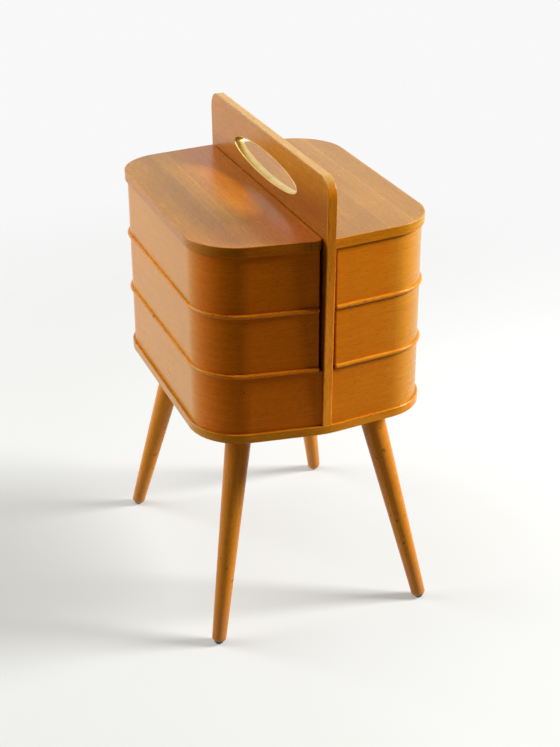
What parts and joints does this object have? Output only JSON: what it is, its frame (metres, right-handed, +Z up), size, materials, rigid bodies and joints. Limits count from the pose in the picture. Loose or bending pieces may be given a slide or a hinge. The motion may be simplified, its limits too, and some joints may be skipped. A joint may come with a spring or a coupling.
{
  "type": "sewing box with swing-out trays",
  "caption": "Wooden sewing box on splayed legs: bent-wood trays and lids on both sides of an upright handle board swing out on rods.",
  "frame": {"origin": "on the floor, under the middle of the box", "axes": "+Z up, +Y along the handle board to the back, +X across the box to the right-hand stack; the left-hand rod stands at the front end, the right-hand rod at the back end"},
  "size_m": [0.321, 0.4346, 0.645],
  "materials": {
    "block_beech": "plain sanded beech",
    "board_cherry": "satin clear lacquer over cherry veneer",
    "brass_bush": "turned",
    "divider_ply": "plain sanded plywood",
    "glide_steel": "dark burnished dome",
    "grip_liner": "satin pale brass",
    "hardware_steel": "zinc plated",
    "inner_ply": "thin lacquer",
    "leg_beech": "honey stained beech, satin lacquer",
    "lid_cherry": "satin clear lacquer over cherry veneer, grain along the box",
    "lipping_cherry": "satin clear lacquer",
    "nose_cherry": "satin clear lacquer",
    "plate_cherry": "satin clear lacquer",
    "rod_steel": "drawn",
    "wall_cherry": "satin clear lacquer over bent cherry veneer, grain level"
  },
  "bodies": {
    "frame": {"base_corner_post_left": "block_beech", "base_corner_post_right": "block_beech", "base_plate": "plate_cherry", "base_plate_lipping": "lipping_cherry", "base_wall_left": "wall_cherry", "base_wall_right": "wall_cherry", "board_screws": "hardware_steel", "handle_board": "board_cherry", "handle_board_lipping": "lipping_cherry", "handle_grip_liner": "grip_liner", "leg_back_left": "leg_beech", "leg_back_right": "leg_beech", "leg_front_left": "leg_beech", "leg_front_right": "leg_beech", "leg_glides": "glide_steel", "leg_inserts": "hardware_steel", "leg_studs": "hardware_steel", "pivot_rod_left": "rod_steel", "pivot_rod_right": "rod_steel", "rod_nuts": "hardware_steel", "rod_washers": "hardware_steel", "tray_spacers": "brass_bush"},
    "lower_tray_left": {"lower_tray_bottom_left": "nose_cherry", "lower_tray_bushes_left": "brass_bush", "lower_tray_inner_wall_left": "inner_ply", "lower_tray_pivot_block_left": "block_beech", "lower_tray_wall_left": "wall_cherry"},
    "upper_tray_left": {"upper_tray_bottom_left": "nose_cherry", "upper_tray_bushes_left": "brass_bush", "upper_tray_dividers_left": "divider_ply", "upper_tray_inner_wall_left": "inner_ply", "upper_tray_pivot_block_left": "block_beech", "upper_tray_wall_left": "wall_cherry"},
    "lid_left": {"lid_bush_left": "brass_bush", "lid_lipping_left": "lipping_cherry", "lid_panel_left": "lid_cherry"},
    "lower_tray_right": {"lower_tray_bottom_right": "nose_cherry", "lower_tray_bushes_right": "brass_bush", "lower_tray_inner_wall_right": "inner_ply", "lower_tray_pivot_block_right": "block_beech", "lower_tray_wall_right": "wall_cherry"},
    "upper_tray_right": {"upper_tray_bottom_right": "nose_cherry", "upper_tray_bushes_right": "brass_bush", "upper_tray_dividers_right": "divider_ply", "upper_tray_inner_wall_right": "inner_ply", "upper_tray_pivot_block_right": "block_beech", "upper_tray_wall_right": "wall_cherry"},
    "lid_right": {"lid_bush_right": "brass_bush", "lid_lipping_right": "lipping_cherry", "lid_panel_right": "lid_cherry"}
  },
  "joints": [
    {"name": "lower_tray_swing_left", "type": "hinge", "parent": "frame", "child": "lower_tray_left", "pos_m": [-0.0275, -0.1936, 0.4303], "axis": [0, 0, 1], "range_deg": [0, 95]},
    {"name": "upper_tray_swing_left", "type": "hinge", "parent": "frame", "child": "upper_tray_left", "pos_m": [-0.0275, -0.1936, 0.5121], "axis": [0, 0, 1], "range_deg": [0, 95]},
    {"name": "lid_swing_left", "type": "hinge", "parent": "frame", "child": "lid_left", "pos_m": [-0.0275, -0.1936, 0.5574], "axis": [0, 0, 1], "range_deg": [0, 95]},
    {"name": "lower_tray_swing_right", "type": "hinge", "parent": "frame", "child": "lower_tray_right", "pos_m": [0.0275, 0.1936, 0.4303], "axis": [0, 0, 1], "range_deg": [0, 95]},
    {"name": "upper_tray_swing_right", "type": "hinge", "parent": "frame", "child": "upper_tray_right", "pos_m": [0.0275, 0.1936, 0.5121], "axis": [0, 0, 1], "range_deg": [0, 95]},
    {"name": "lid_swing_right", "type": "hinge", "parent": "frame", "child": "lid_right", "pos_m": [0.0275, 0.1936, 0.5574], "axis": [0, 0, 1], "range_deg": [0, 95]}
  ]
}
